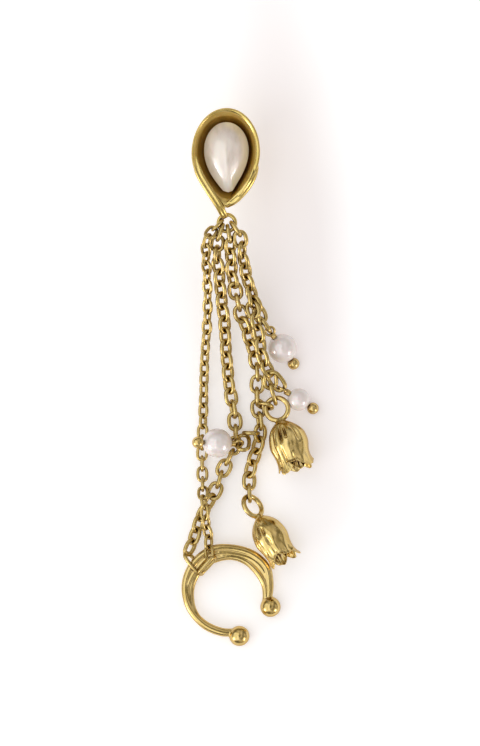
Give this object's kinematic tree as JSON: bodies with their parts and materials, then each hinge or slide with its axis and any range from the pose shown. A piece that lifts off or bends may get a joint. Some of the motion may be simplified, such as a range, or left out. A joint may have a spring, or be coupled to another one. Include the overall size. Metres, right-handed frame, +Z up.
{
  "type": "chain drop earring",
  "caption": "Chain drop earring with a shell-set stud, fine cable chains, pearls, hollow tulip blossoms and an open ear cuff, lying flat.",
  "frame": {"origin": "on the surface the earring lies on, under the middle of its bounding box", "axes": "+Z up from the surface towards the viewer, +Y along the earring from the cuff to the stud, +X to the right seen from above"},
  "size_m": [0.0213, 0.0833, 0.0113],
  "materials": {
    "gold": "polished yellow gold with soft hand-worked ripples",
    "mother_of_pearl": "polished white shell with faint grey streaks and a pearly sheen",
    "pearl": "lustrous white pearl with a pinkish cream overtone"
  },
  "bodies": {
    "root": {"stud_frame": "gold", "mother_of_pearl": "mother_of_pearl", "thin_chain": "gold", "left_chain": "gold", "middle_chain": "gold", "right_chain": "gold", "pearl_1": "pearl", "pearl_2": "pearl", "pearl_3": "pearl", "head_pin_1": "gold", "head_pin_2": "gold", "head_pin_3": "gold", "tulip_1": "gold", "tulip_2": "gold", "ear_cuff": "gold", "cuff_ring_left": "gold", "cuff_ring_right": "gold"}
  },
  "joints": []
}
